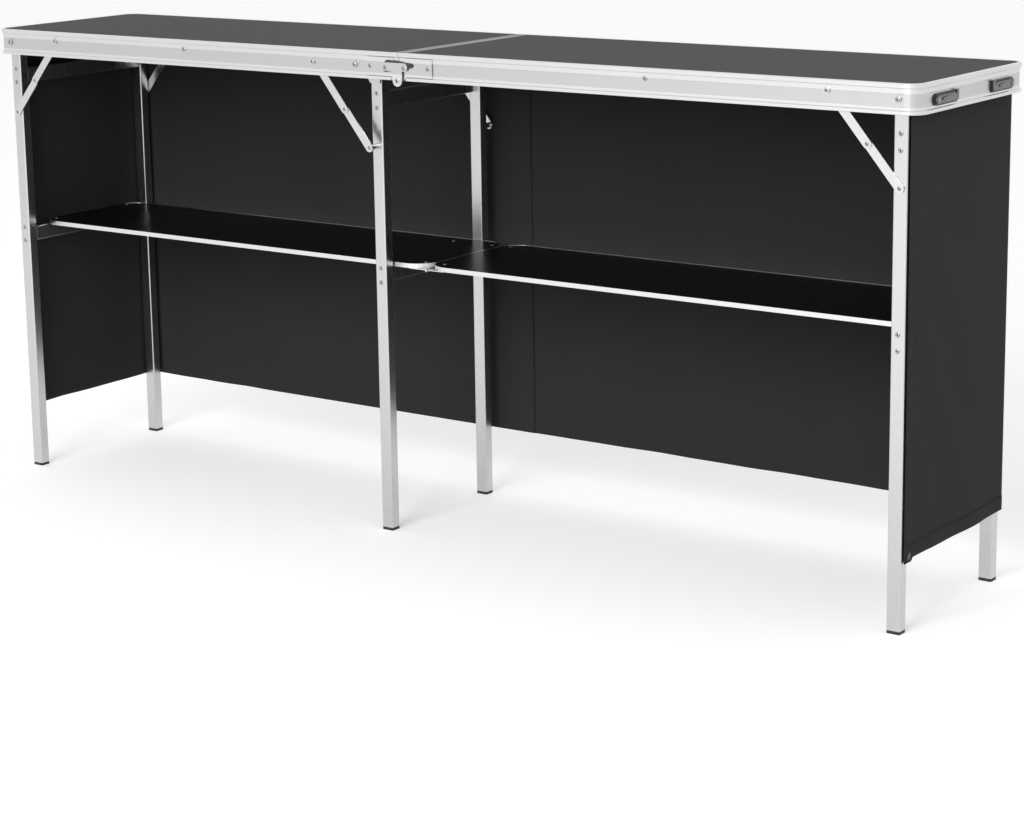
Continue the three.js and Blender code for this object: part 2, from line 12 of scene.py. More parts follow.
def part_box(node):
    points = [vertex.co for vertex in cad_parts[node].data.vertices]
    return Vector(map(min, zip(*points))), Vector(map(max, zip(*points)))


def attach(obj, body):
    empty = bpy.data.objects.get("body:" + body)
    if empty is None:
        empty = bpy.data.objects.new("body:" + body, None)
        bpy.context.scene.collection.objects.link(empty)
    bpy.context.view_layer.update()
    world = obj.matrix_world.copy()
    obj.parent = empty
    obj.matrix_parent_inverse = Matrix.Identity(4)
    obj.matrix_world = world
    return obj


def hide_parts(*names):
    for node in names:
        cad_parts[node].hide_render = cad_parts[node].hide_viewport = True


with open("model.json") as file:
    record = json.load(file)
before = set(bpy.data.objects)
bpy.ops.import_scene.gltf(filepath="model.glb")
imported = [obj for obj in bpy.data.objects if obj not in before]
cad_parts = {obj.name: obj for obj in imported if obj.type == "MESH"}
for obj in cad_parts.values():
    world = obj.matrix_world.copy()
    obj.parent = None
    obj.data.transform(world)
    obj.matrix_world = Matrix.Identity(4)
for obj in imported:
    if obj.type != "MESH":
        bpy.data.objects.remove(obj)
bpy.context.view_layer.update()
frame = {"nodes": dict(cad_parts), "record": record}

bl_info = {
    "name": "Portable bar looks",
    "version": (1, 0, 0),
    "blender": (4, 5, 0),
    "location": "View3D > Sidebar > Bar",
    "description": "Finishes, cloth and fasteners of a folding portable bar",
    "category": "Object",
}

MM = 0.001
FACES = {"front": -1.0, "back": 1.0}
PAIRS = ("left", "centre", "right")

# Band between the rim's beads where shade is painted on the recessed web, as depths below the rim's top, and
# how softly it starts.
SHADE_BAND_TOP = 16.4 * MM
SHADE_BAND_BOTTOM = 36.6 * MM
SHADE_BAND_EDGE = 0.5 * MM


def linear(red, green, blue):
    """Linear colour of an 8-bit display colour: the sRGB curve undone channel by channel."""
    value = np.array([red, green, blue]) / 255.0
    low = value / 12.92
    high = ((value + 0.055) / 1.055) ** 2.4
    return tuple(float(c) for c in np.where(value <= 0.04045, low, high))


class BarSizes(bpy.types.PropertyGroup):
    """Sizes of the fasteners and the cloth that a user would change."""

    rivet_radius: bpy.props.FloatProperty(
        name="Rivet radius", description="Radius of a leg or rim rivet", default=4.3 * MM, unit="LENGTH")
    rivet_height: bpy.props.FloatProperty(
        name="Rivet height", description="How far a rivet's dome stands out", default=1.2 * MM,
        unit="LENGTH")
    rivet_hole: bpy.props.FloatProperty(
        name="Rivet hole", description="Radius of the hole in a rivet's dome", default=1.6 * MM,
        unit="LENGTH")
    screw_radius: bpy.props.FloatProperty(
        name="Screw radius", description="Radius of a shelf screw", default=4.0 * MM, unit="LENGTH")
    cloth_thickness: bpy.props.FloatProperty(
        name="Cloth thickness", description="Thickness of the skirt cloth", default=0.8 * MM, unit="LENGTH")
    cloth_sway: bpy.props.FloatProperty(
        name="Cloth sway", description="How far the skirt's soft waves stand out", default=5.0 * MM,
        unit="LENGTH")
    hem_height: bpy.props.FloatProperty(
        name="Hem height", description="Height of the turned-up hem", default=24 * MM, unit="LENGTH")
    stitch_pitch: bpy.props.FloatProperty(
        name="Stitch pitch", description="Distance from stitch to stitch", default=6 * MM, unit="LENGTH")
    stitch_length: bpy.props.FloatProperty(
        name="Stitch length", description="Length of one stitch", default=3.6 * MM, unit="LENGTH")
    snap_radius: bpy.props.FloatProperty(
        name="Snap radius", description="Radius of the snap on the skirt's flap", default=6 * MM,
        unit="LENGTH")


def colour(name, description, default):
    """A colour property with the given default."""
    return bpy.props.FloatVectorProperty(
        name=name, description=description, default=default, size=3, subtype="COLOR", min=0.0, max=1.0)


class BarColours(bpy.types.PropertyGroup):
    """Colours of the bar's finishes, of the painted shade on the rim's band, and of the stage."""

    rim: colour("Rim", "Satin aluminium of the rim", linear(218, 218, 219))
    # Rim band: painted shade, a darker colour for the recessed web between the rim's beads.
    rim_band_shade: colour("Rim band", "Duller band between the rim's beads", linear(198, 198, 199))
    seam: colour("Seam rails", "Greyer rails where the two tops meet", linear(112, 112, 113))
    hook: colour("Latch hooks", "Grey steel of the latch hooks", linear(118, 118, 120))
    leg: colour("Legs", "Aluminium of the legs", linear(200, 200, 201))
    plated: colour("Plated steel", "Stays and straps", linear(208, 208, 209))
    rivet: colour("Rivets", "Greyer steel of the rivets", linear(158, 158, 160))
    # Dark metal also colours the discs of painted shade in the rivet holes.
    dark_metal: colour("Dark metal", "Latches, locks and keepers", linear(38, 38, 40))
    top: colour("Top", "Laminate of the top panels", linear(77, 77, 78))
    shelf: colour("Shelf", "Laminate of the shelf boards", linear(9, 9, 10))
    cap: colour("Foot caps", "Plastic of the foot caps", linear(34, 34, 35))
    cloth: colour("Cloth", "Woven cloth of the skirt", linear(46, 46, 47))
    thread: colour("Thread", "Thread of the hems", linear(53, 53, 55))
    floor: colour("Floor", "Pale floor", (0.86, 0.86, 0.86))


def sizes():
    """The sizes of the scene."""
    return bpy.context.scene.bar_sizes


def colours():
    """The colours of the scene."""
    return bpy.context.scene.bar_colours


# Shader groups.

def new_group(name, inputs, outputs):
    """An empty shader group with named sockets: (kind, name, default) in, (kind, name) out."""
    group = bpy.data.node_groups.new(name, "ShaderNodeTree")
    for kind, label, default in inputs:
        socket = group.interface.new_socket(label, in_out="INPUT", socket_type=kind)
        if default is not None:
            socket.default_value = default
    for kind, label in outputs:
        group.interface.new_socket(label, in_out="OUTPUT", socket_type=kind)
    return group, group.nodes.new("NodeGroupInput"), group.nodes.new("NodeGroupOutput")


def grain_group():
    """Fine grain: noise on stretched coordinates for lines or specks, and broad noise for mottling."""
    group, start, end = new_group(
        "fine_grain",
        [("NodeSocketVector", "Vector", None), ("NodeSocketVector", "Stretch", (1.0, 1.0, 1.0)),
         ("NodeSocketFloat", "Grain Scale", 400.0), ("NodeSocketFloat", "Mottle Scale", 6.0)],
        [("NodeSocketFloat", "Grain"), ("NodeSocketFloat", "Mottle")],
    )
    stretch = group.nodes.new("ShaderNodeVectorMath")
    stretch.operation = "MULTIPLY"
    grain = group.nodes.new("ShaderNodeTexNoise")
    grain.inputs["Detail"].default_value = 5.0
    mottle = group.nodes.new("ShaderNodeTexNoise")
    mottle.inputs["Detail"].default_value = 3.0
    link = group.links.new
    link(start.outputs["Vector"], stretch.inputs[0])
    link(start.outputs["Stretch"], stretch.inputs[1])
    link(stretch.outputs["Vector"], grain.inputs["Vector"])
    link(start.outputs["Grain Scale"], grain.inputs["Scale"])
    link(start.outputs["Vector"], mottle.inputs["Vector"])
    link(start.outputs["Mottle Scale"], mottle.inputs["Scale"])
    link(grain.outputs["Fac"], end.inputs["Grain"])
    link(mottle.outputs["Fac"], end.inputs["Mottle"])
    return group


def weave_group():
    """Plain weave: two crossed sine bands on the cloth's own UV map, the higher of which is on top."""
    group, start, end = new_group(
        "plain_weave",
        [("NodeSocketVector", "Vector", None), ("NodeSocketFloat", "Band Scale", 160.0)],
        [("NodeSocketFloat", "Height")],
    )
    bands = []
    for direction in ("X", "Y"):
        band = group.nodes.new("ShaderNodeTexWave")
        band.wave_type = "BANDS"
        band.bands_direction = direction
        band.inputs["Distortion"].default_value = 0.4
        band.inputs["Detail"].default_value = 1.0
        group.links.new(start.outputs["Vector"], band.inputs["Vector"])
        group.links.new(start.outputs["Band Scale"], band.inputs["Scale"])
        bands.append(band)
    top = group.nodes.new("ShaderNodeMath")
    top.operation = "MAXIMUM"
    for i, band in enumerate(bands):
        group.links.new(band.outputs["Fac"], top.inputs[i])
    group.links.new(top.outputs["Value"], end.inputs["Height"])
    return group


GROUPS = {}
MATERIALS = {}

# Stretches of the grain: even, or drawn out along Z, X or Y.
EVEN = (1.0, 1.0, 1.0)
UPRIGHT = (1.0, 1.0, 0.02)
LENGTHWISE = (0.01, 1.0, 1.0)
CROSSWISE = (1.0, 0.01, 1.0)

# Share of grain in the blended noise, and the ranges of it that colour and roughness spread over.
GRAIN_SHARE = 0.5
COLOUR_SPAN = (0.3, 0.7)
ROUGH_SPAN = (0.25, 0.75)

# Weave of the skirt: the scale of its bands, and its relief.
WEAVE_SCALE = 160.0
WEAVE_STRENGTH = 0.35
WEAVE_HEIGHT = 0.25 * MM


def finish_material(name, base, spread, rough, metallic, stretch, grain, mottle, bump, **sockets):
    """A finish: colour and roughness varied by a blend of grain and mottling, and a fine bump.

    spread is how far the colour moves each way, rough is (least, most) roughness, grain and mottle
    are scales of noise, bump is (strength, height in metres), and sockets are constants of the shader.
    """
    material = bpy.data.materials.new(name)
    material.use_nodes = True
    nodes = material.node_tree.nodes
    link = material.node_tree.links.new
    shader = nodes["Principled BSDF"]
    shader.inputs["Metallic"].default_value = metallic
    for label, value in sockets.items():
        shader.inputs[label.replace("_", " ")].default_value = value
    place = nodes.new("ShaderNodeTexCoord")
    group = nodes.new("ShaderNodeGroup")
    group.node_tree = GROUPS["grain"]
    group.inputs["Stretch"].default_value = stretch
    group.inputs["Grain Scale"].default_value = grain
    group.inputs["Mottle Scale"].default_value = mottle
    link(place.outputs["Object"], group.inputs["Vector"])
    both = nodes.new("ShaderNodeMath")
    both.operation = "MULTIPLY_ADD"
    both.inputs[1].default_value = GRAIN_SHARE
    rest = nodes.new("ShaderNodeMath")
    rest.operation = "MULTIPLY"
    rest.inputs[1].default_value = 1.0 - GRAIN_SHARE
    link(group.outputs["Mottle"], rest.inputs[0])
    link(group.outputs["Grain"], both.inputs[0])
    link(rest.outputs["Value"], both.inputs[2])
    ramp = nodes.new("ShaderNodeValToRGB")
    dark, light = ramp.color_ramp.elements
    dark.position, light.position = COLOUR_SPAN
    dark.color = (*(c * (1.0 - spread) for c in base), 1.0)
    light.color = (*(min(1.0, c * (1.0 + spread)) for c in base), 1.0)
    link(both.outputs["Value"], ramp.inputs["Fac"])
    link(ramp.outputs["Color"], shader.inputs["Base Color"])
    span = nodes.new("ShaderNodeMapRange")
    span.inputs["From Min"].default_value = ROUGH_SPAN[0]
    span.inputs["From Max"].default_value = ROUGH_SPAN[1]
    span.inputs["To Min"].default_value = rough[0]
    span.inputs["To Max"].default_value = rough[1]
    link(both.outputs["Value"], span.inputs["Value"])
    link(span.outputs["Result"], shader.inputs["Roughness"])
    relief = nodes.new("ShaderNodeBump")
    relief.inputs["Strength"].default_value = bump[0]
    relief.inputs["Distance"].default_value = bump[1]
    link(group.outputs["Grain"], relief.inputs["Height"])
    link(relief.outputs["Normal"], shader.inputs["Normal"])
    return material


def cloth_material(name, base):
    """Woven cloth: weave bump on the UV map, and a colour that varies with grain and mottling."""
    material = finish_material(
        name, base, spread=0.10, rough=(0.82, 0.95), metallic=0.0, stretch=EVEN, grain=900.0, mottle=5.0,
        bump=(WEAVE_STRENGTH, WEAVE_HEIGHT), Specular_IOR_Level=0.1, Sheen_Weight=0.03, Sheen_Roughness=0.6)
    nodes = material.node_tree.nodes
    link = material.node_tree.links.new
    relief = next(n for n in nodes if n.bl_idname == "ShaderNodeBump")
    place = next(n for n in nodes if n.bl_idname == "ShaderNodeTexCoord")
    weave = nodes.new("ShaderNodeGroup")
    weave.node_tree = GROUPS["weave"]
    weave.inputs["Band Scale"].default_value = WEAVE_SCALE
    link(place.outputs["UV"], weave.inputs["Vector"])
    link(weave.outputs["Height"], relief.inputs["Height"])
    return material


def rim_material(name, base, band):
    """Rim finish: drawn aluminium, with a darker colour painted as shade in the band of heights between the
    two beads, where the web is recessed.
    """
    material = finish_material(
        name, base, spread=0.02, rough=(0.25, 0.33), metallic=1.0, stretch=LENGTHWISE, grain=2200.0,
        mottle=5.0, bump=(0.02, 0.03 * MM))
    nodes = material.node_tree.nodes
    link = material.node_tree.links.new
    shader = nodes["Principled BSDF"]
    ramp = next(n for n in nodes if n.bl_idname == "ShaderNodeValToRGB")
    place = next(n for n in nodes if n.bl_idname == "ShaderNodeTexCoord")
    split = nodes.new("ShaderNodeSeparateXYZ")
    link(place.outputs["Object"], split.inputs["Vector"])
    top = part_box("rim_left")[1][2]
    steps = []
    for depth in (SHADE_BAND_BOTTOM, SHADE_BAND_TOP):
        step = nodes.new("ShaderNodeMapRange")
        step.interpolation_type = "SMOOTHSTEP"
        step.inputs["From Min"].default_value = top - depth - SHADE_BAND_EDGE
        step.inputs["From Max"].default_value = top - depth + SHADE_BAND_EDGE
        link(split.outputs["Z"], step.inputs["Value"])
        steps.append(step)
    # Mask of the band between the beads, where the shade is painted.
    shaded_band = nodes.new("ShaderNodeMath")
    shaded_band.operation = "SUBTRACT"
    for i, step in enumerate(steps):
        link(step.outputs["Result"], shaded_band.inputs[i])
    # Painted shade: inside the mask the band's darker colour takes the place of the aluminium's.
    band_shade_mix = nodes.new("ShaderNodeMix")
    band_shade_mix.data_type = "RGBA"
    band_shade_mix.inputs["B"].default_value = (*band, 1.0)
    link(shaded_band.outputs["Value"], band_shade_mix.inputs["Factor"])
    link(ramp.outputs["Color"], band_shade_mix.inputs["A"])
    link(band_shade_mix.outputs["Result"], shader.inputs["Base Color"])
    return material


# Nodes whose finish isn't the one that their material slot names.
NODE_FINISHES = {
    "seam_rail_left": "seam_aluminium",
    "seam_rail_right": "seam_aluminium",
    "latch_hook_front": "hook_steel",
    "latch_hook_back": "hook_steel",
}


class BAR_OT_finishes(bpy.types.Operator):
    """Makes the finishes and puts them on the frame's own pieces"""

    bl_idname = "bar.finishes"
    bl_label = "Finishes"

    def execute(self, context):
        GROUPS["grain"] = grain_group()
        GROUPS["weave"] = weave_group()
        shade = colours()
        MATERIALS["rim_aluminium"] = rim_material("rim_aluminium", shade.rim, shade.rim_band_shade)
        MATERIALS["cloth"] = cloth_material("cloth", shade.cloth)
        self.metals(shade)
        self.boards(shade)
        for part in frame["record"]["subparts"]:
            node = frame["nodes"][part["node"]]
            material = MATERIALS[NODE_FINISHES.get(part["node"], part["material_slot"])]
            if not node.material_slots:
                node.data.materials.append(material)
            for place in node.material_slots:
                place.link = "OBJECT"
                place.material = material
        return {"FINISHED"}

    def metals(self, shade):
        """Aluminium of the seam and the legs, and the steels of the fittings."""
        MATERIALS["seam_aluminium"] = finish_material(
            "seam_aluminium", shade.seam, spread=0.04, rough=(0.34, 0.44), metallic=1.0, stretch=CROSSWISE,
            grain=2200.0, mottle=5.0, bump=(0.02, 0.03 * MM))
        MATERIALS["hook_steel"] = finish_material(
            "hook_steel", shade.hook, spread=0.10, rough=(0.30, 0.46), metallic=1.0, stretch=EVEN,
            grain=700.0, mottle=25.0, bump=(0.1, 0.06 * MM))
        MATERIALS["leg_aluminium"] = finish_material(
            "leg_aluminium", shade.leg, spread=0.03, rough=(0.24, 0.32), metallic=1.0, stretch=UPRIGHT,
            grain=1800.0, mottle=5.0, bump=(0.03, 0.03 * MM))
        MATERIALS["plated_steel"] = finish_material(
            "plated_steel", shade.plated, spread=0.06, rough=(0.22, 0.38), metallic=1.0, stretch=EVEN,
            grain=500.0, mottle=30.0, bump=(0.08, 0.05 * MM))
        MATERIALS["rivet_steel"] = finish_material(
            "rivet_steel", shade.rivet, spread=0.08, rough=(0.20, 0.34), metallic=1.0, stretch=EVEN,
            grain=900.0, mottle=40.0, bump=(0.08, 0.05 * MM))
        MATERIALS["dark_steel"] = finish_material(
            "dark_steel", shade.dark_metal, spread=0.18, rough=(0.34, 0.5), metallic=0.0, stretch=EVEN,
            grain=700.0, mottle=25.0, bump=(0.15, 0.08 * MM), Coat_Weight=0.2, Coat_Roughness=0.3)

    def boards(self, shade):
        """Laminates of the tops and the shelf, plastic of the foot caps and thread of the hems."""
        MATERIALS["top_board"] = finish_material(
            "top_board", shade.top, spread=0.09, rough=(0.46, 0.60), metallic=0.0, stretch=EVEN,
            grain=650.0, mottle=3.0, bump=(0.12, 0.1 * MM), Specular_IOR_Level=0.01)
        MATERIALS["shelf_board"] = finish_material(
            "shelf_board", shade.shelf, spread=0.14, rough=(0.22, 0.34), metallic=0.0, stretch=EVEN,
            grain=600.0, mottle=4.0, bump=(0.07, 0.06 * MM), Specular_IOR_Level=0.1)
        MATERIALS["cap_plastic"] = finish_material(
            "cap_plastic", shade.cap, spread=0.15, rough=(0.5, 0.66), metallic=0.0, stretch=EVEN,
            grain=800.0, mottle=40.0, bump=(0.2, 0.1 * MM))
        MATERIALS["thread"] = finish_material(
            "thread", shade.thread, spread=0.12, rough=(0.6, 0.8), metallic=0.0, stretch=EVEN,
            grain=2500.0, mottle=60.0, bump=(0.3, 0.1 * MM))


# Mesh makers. A head's foot is sunk a little into what it sits on.
FOOT_SINK = 0.2 * MM
SCREW_SINK = 0.3 * MM


def piece(name, points, faces, material, body):
    """A mesh object from points and faces that rides on a body and takes its finish from a slot."""
    mesh = bpy.data.meshes.new(name)
    mesh.from_pydata(np.asarray(points).tolist(), [], [tuple(int(i) for i in f) for f in faces])
    mesh.validate()
    mesh.polygons.foreach_set("use_smooth", np.ones(len(mesh.polygons), dtype=bool))
    mesh.materials.append(MATERIALS[material])
    thing = bpy.data.objects.new(name, mesh)
    bpy.context.scene.collection.objects.link(thing)
    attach(thing, body)
    return thing


def turned(profile, steps=20):
    """A turned solid about +Z: radius and height pairs carried round a circle, a pole at each end."""
    profile = np.asarray(profile, dtype=float)
    rings = profile[1:-1]
    angle = np.linspace(0.0, 2.0 * np.pi, steps, endpoint=False)
    circle = np.stack([np.cos(angle), np.sin(angle)], axis=1)
    around = rings[:, None, :1] * circle[None]
    heights = np.repeat(rings[:, None, 1:], steps, axis=1)
    ring_points = np.concatenate([around, heights], axis=2).reshape(-1, 3)
    poles = np.array([[0.0, 0.0, profile[0, 1]], [0.0, 0.0, profile[-1, 1]]])
    points = np.concatenate([ring_points, poles])
    here = np.arange(steps)
    after = (here + 1) % steps
    rows = np.arange(len(rings) - 1)[:, None] * steps
    corners = [rows + here, rows + after, rows + steps + after, rows + steps + here]
    quads = np.stack(corners, axis=2).reshape(-1, 4)
    first, last = len(ring_points), len(ring_points) + 1
    base = (len(rings) - 1) * steps
    start = np.stack([np.full(steps, first), after, here], axis=1)
    finish = np.stack([np.full(steps, last), base + here, base + after], axis=1)
    return points, [*quads.tolist(), *start.tolist(), *finish.tolist()]


def scattered(shape, places, normals, tangents=None):
    """Copies of one shape: each point is carried to a place by the frame of its normal and tangent."""
    points, faces = shape
    places = np.asarray(places, dtype=float)
    normals = np.asarray(normals, dtype=float)
    if tangents is None:
        upright = np.abs(normals[:, 2:3]) < 0.9
        tangents = np.where(upright, [[0.0, 0.0, 1.0]], [[1.0, 0.0, 0.0]])
    across = np.cross(normals, tangents)
    basis = np.stack([tangents, across, normals], axis=1)
    moved = np.einsum("pk,nkd->npd", points, basis) + places[:, None, :]
    size = len(points)
    copies = [[i + n * size for i in f] for n in range(len(places)) for f in faces]
    return moved.reshape(-1, 3), copies


def rivet_shape(radius, height, hole):
    """A blind rivet's head: a flat foot, a round dome and a hole in the middle of the dome."""
    turn = np.linspace(0.0, 1.0, 6)[1:] * np.pi / 2
    lip = hole * 1.25
    dome = [(lip + (radius - lip) * math.cos(t), height * math.sin(t)) for t in turn]
    sunk = [(hole, height * 0.85), (hole * 0.9, height * 0.25), (0.0, height * 0.25)]
    return turned([(0.0, -FOOT_SINK), (radius, -FOOT_SINK), (radius, 0.1 * MM), *dome, *sunk])


def hole_shade_shape(hole, height):
    """Painted shade of a rivet's hole: a low dark disc that fills the hole below its rim."""
    return turned([(0.0, 0.0), (hole * 0.98, 0.0), (hole * 0.98, height * 0.4), (0.0, height * 0.45)], 12)


def pad_shape(half_tall, half_long):
    """An oval pad: a low turned dome stretched to an oval, with a flat foot."""
    points, faces = turned([(0.0, -FOOT_SINK), (1.0, -FOOT_SINK), (1.0, 0.4 * MM), (0.94, 0.9 * MM),
                            (0.82, 1.2 * MM), (0.0, 1.3 * MM)], 28)
    return points * np.array([half_tall, half_long, 1.0]), faces


def screw_shape(radius):
    """A raised countersunk head: a low dome with a dimple where the driver sits."""
    return turned([(0.0, -SCREW_SINK), (radius, -SCREW_SINK), (radius, 0.15 * MM), (radius * 0.8, 0.5 * MM),
                   (radius * 0.5, 0.7 * MM), (radius * 0.42, 0.2 * MM), (0.0, 0.1 * MM)])


def snap_shape(radius):
    """A snap's cap: a rolled edge round a dished middle."""
    edge = [(radius, 0.9 * MM), (radius * 0.93, 1.5 * MM), (radius * 0.8, 1.7 * MM)]
    dish = [(radius * 0.62, 1.2 * MM), (radius * 0.3, 1.3 * MM), (0.0, 1.4 * MM)]
    return turned([(0.0, -FOOT_SINK), (radius, -FOOT_SINK), *edge, *dish])


def stitch_shape(length, radius):
    """One stitch: a spindle along the seam, fattest in the middle, from the sine of its length."""
    angles = np.linspace(0.0, np.pi, 6)
    middle = [(radius * math.sin(a) ** 0.7, -length / 2 * math.cos(a)) for a in angles[1:-1]]
    return turned([(0.0, -length / 2), *middle, (0.0, length / 2)], 6)


def heads(name, shape, spots, material, body):
    """Fastener heads at (place, normal) spots, joined into one piece on one body."""
    places, normals = zip(*spots)
    points, faces = scattered(shape, places, normals)
    return piece(name, points, faces, material, body)


def riveted(name, spots, body, scale=1.0, height=None):
    """Rivet heads at spots, and dark discs in their holes as painted shade."""
    size = sizes()
    height = height or size.rivet_height * scale
    shape = rivet_shape(size.rivet_radius * scale, height, size.rivet_hole * scale)
    hole_shade = hole_shade_shape(size.rivet_hole * scale, height)
    heads(name, shape, spots, "rivet_steel", body)
    # Painted shade: dark discs in the rivets' holes make the holes look deep.
    heads(f"{name}_hole_shades", hole_shade, spots, "dark_steel", body)


def outer_face(node, sign):
    """How far a node reaches along Y on the side that sign gives."""
    low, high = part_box(node)
    return sign * max(abs(low[1]), abs(high[1]))


def joint_place(name):
    """Where a joint of the frame turns, at rest."""
    joints = frame["record"]["behaviour"]["joints"]
    return next(j["pos_m"] for j in joints if j["name"] == name)


def body_of(node):
    """The body that a frame node rides on."""
    bodies = frame["record"]["behaviour"]["bodies"]
    return next(name for name, nodes in bodies.items() if node in nodes)


# Places of the rim and hinge rivets: along the bar, and below the rim's top. Then the leaf's and the
# links' own sizes, which the heads sit on.
RIM_RIVET_X = 505.6 * MM
RIM_RIVET_DEPTH = 17.2 * MM
LEAF_RIVET_X = 63.5 * MM
LEAF_RIVET_DEPTH = 25.0 * MM
CHEEK_RIVETS_X = (-26.5 * MM, 14.0 * MM)
CHEEK_RIVET_DEPTH = 25.7 * MM
LEAF_THICKNESS = 1.9 * MM
PIN_PROUD = 1.2 * MM
BRACKET_HEIGHT = 46.0 * MM
LINK_HALF = 7.5 * MM
LINK_THICKNESS = 2.0 * MM
BAR_RIVET_INSET = 1.0 * MM

# Size of the smaller rivets, height of the flush ones, and the pad's share of a latch hook.
SMALL_RIVET = 0.85
FLUSH_RIVET = 0.4 * MM
PAD_SHARE_TALL = 0.42
PAD_SHARE_LONG = 0.5


class BAR_OT_rivets(bpy.types.Operator):
    """Makes the rivets of the rims, hinges, legs and stays"""

    bl_idname = "bar.rivets"
    bl_label = "Rivets"

    def execute(self, context):
        leaf = abs(outer_face("hinge_leaf_right_front", -1.0))
        cheek = abs(outer_face("hinge_leaf_left_front", -1.0)) - PIN_PROUD
        rim_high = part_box("rim_left")[1][2]
        hinge_z = joint_place("half_fold")[2]
        halves = {"left_half": [], "right_half": []}
        for word, sign in FACES.items():
            out = (0.0, sign, 0.0)
            for body, side in (("left_half", -1.0), ("right_half", 1.0)):
                web = sign * (leaf - LEAF_THICKNESS)
                halves[body].append(((side * RIM_RIVET_X, web, rim_high - RIM_RIVET_DEPTH), out))
                halves[body].append(((side * LEAF_RIVET_X, sign * leaf, rim_high - LEAF_RIVET_DEPTH), out))
            for x in CHEEK_RIVETS_X:
                halves["left_half"].append(((x, sign * cheek, rim_high - CHEEK_RIVET_DEPTH), out))
            pin_y = outer_face(f"hinge_leaf_left_{word}", sign)
            halves["left_half"].append(((0.0, pin_y, hinge_z), out))
        for body, spots in halves.items():
            riveted(f"rim_rivets_{body}", spots, body)
        for pair in PAIRS:
            self.leg_rivets(pair)
            self.stay_rivets(pair)
        for word, sign in FACES.items():
            self.lock_rivet(word, sign)
            self.latch_rivet(word)
        return {"FINISHED"}

    def leg_rivets(self, pair):
        """Heads on a pair's legs: on the fold pins and where the crossbars are fixed."""
        pivot = joint_place(f"{pair}_legs_fold")
        pins, bars = [], []
        for word, sign in FACES.items():
            out = (0.0, sign, 0.0)
            leg_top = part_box(f"leg_{pair}_{word}")[1][2]
            pins.append(((pivot[0], outer_face(f"leg_{pair}_{word}", sign), pivot[2]), out))
            cap_low, cap_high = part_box(f"foot_cap_{pair}_{word}")
            face_y = outer_face(f"foot_cap_{pair}_{word}", sign)
            leg_x = (cap_low[0] + cap_high[0]) / 2
            for bar in ("upper", "shelf"):
                bar_low, bar_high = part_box(f"crossbar_{bar}_{pair}")
                covered = pair == "centre" and bar == "upper"
                for z in (bar_low[2] + BAR_RIVET_INSET, bar_high[2] - BAR_RIVET_INSET):
                    if not covered or z < leg_top - BRACKET_HEIGHT:
                        bars.append(((leg_x, face_y, z), out))
        riveted(f"leg_pins_{pair}", pins, f"{pair}_legs")
        flush = FLUSH_RIVET if pair == "centre" else None
        riveted(f"leg_rivets_{pair}", bars, f"{pair}_legs", height=flush)

    def stay_rivets(self, pair):
        """Heads on a pair's stays: on the rim pins, and at the front knees and feet."""
        top = joint_place(f"{pair}_upper_stay")
        foot = joint_place(f"{pair}_lower_stay")
        upper = [((top[0], outer_face(f"stay_upper_{pair}_{word}", sign), top[2]), (0.0, sign, 0.0))
                 for word, sign in FACES.items()]
        low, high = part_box(f"stay_upper_{pair}_front")
        leans_left = top[0] > (low[0] + high[0]) / 2
        knee_x = low[0] + LINK_HALF if leans_left else high[0] - LINK_HALF
        link_face = high[1] - LINK_THICKNESS
        ahead = (0.0, -1.0, 0.0)
        upper.append(((knee_x, link_face, low[2] + LINK_HALF), ahead))
        lower = [((foot[0], outer_face(f"stay_lower_{pair}_front", -1.0), foot[2]), ahead)]
        riveted(f"stay_rivets_upper_{pair}", upper, f"{pair}_upper_stays", SMALL_RIVET)
        riveted(f"stay_rivets_lower_{pair}", lower, f"{pair}_lower_stays", SMALL_RIVET)

    def lock_rivet(self, word, sign):
        """The rivet that a lock lever turns on."""
        node = f"hinge_lock_{word}"
        place = joint_place(f"lock_{word}_turn")
        spot = ((place[0], outer_face(node, sign), place[2]), (0.0, sign, 0.0))
        riveted(f"lock_rivet_{word}", [spot], body_of(node), SMALL_RIVET)

    def latch_rivet(self, word):
        """The rivet that a latch hook turns on, and the raised pad along the hook."""
        node = f"latch_hook_{word}"
        low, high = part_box(node)
        place = joint_place(f"latch_{word}_turn")
        outward = (1.0, 0.0, 0.0)
        spot = ((high[0], place[1], place[2]), outward)
        riveted(f"latch_rivet_{word}", [spot], body_of(node), SMALL_RIVET)
        middle = (high[0], (low[1] + high[1]) / 2, place[2])
        pad = pad_shape((high[2] - low[2]) * PAD_SHARE_TALL / 2, (high[1] - low[1]) * PAD_SHARE_LONG / 2)
        heads(f"latch_pad_{word}", pad, [(middle, outward)], "hook_steel", body_of(node))


# Places of the shelf screws: columns along each board, and how far each side of the middle.
SCREW_COLUMNS = {
    "left": (-951.0 * MM, -107.0 * MM, -18.0 * MM),
    "right": (24.0 * MM, 951.0 * MM),
}
SCREW_Y = 100.0 * MM


class BAR_OT_screws(bpy.types.Operator):
    """Makes the screws that hold the shelf boards to their straps and rests"""

    bl_idname = "bar.screws"
    bl_label = "Shelf screws"

    def execute(self, context):
        shape = screw_shape(sizes().screw_radius)
        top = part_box("shelf_board_left")[1][2]
        up = (0.0, 0.0, 1.0)
        for word, columns in SCREW_COLUMNS.items():
            spots = [((x, sign * SCREW_Y, top), up) for x in columns for sign in FACES.values()]
            heads(f"shelf_screws_{word}", shape, spots, "plated_steel", f"shelf_{word}")
        return {"FINISHED"}


# Skirt cloth: grid rows, how far the hem stands off the cloth, its seam below the hem's top,
# the stretches where the waves die, and the length that the other half's cloth sweeps over.
CLOTH_ROWS = 60
HEM_ROWS = 4
HEM_SHIFT = 0.8 * MM
SEAM_INSET = 3.0 * MM
STILL_TOP = 70.0 * MM
STILL_END = 90.0 * MM
SWEPT = 640.0 * MM

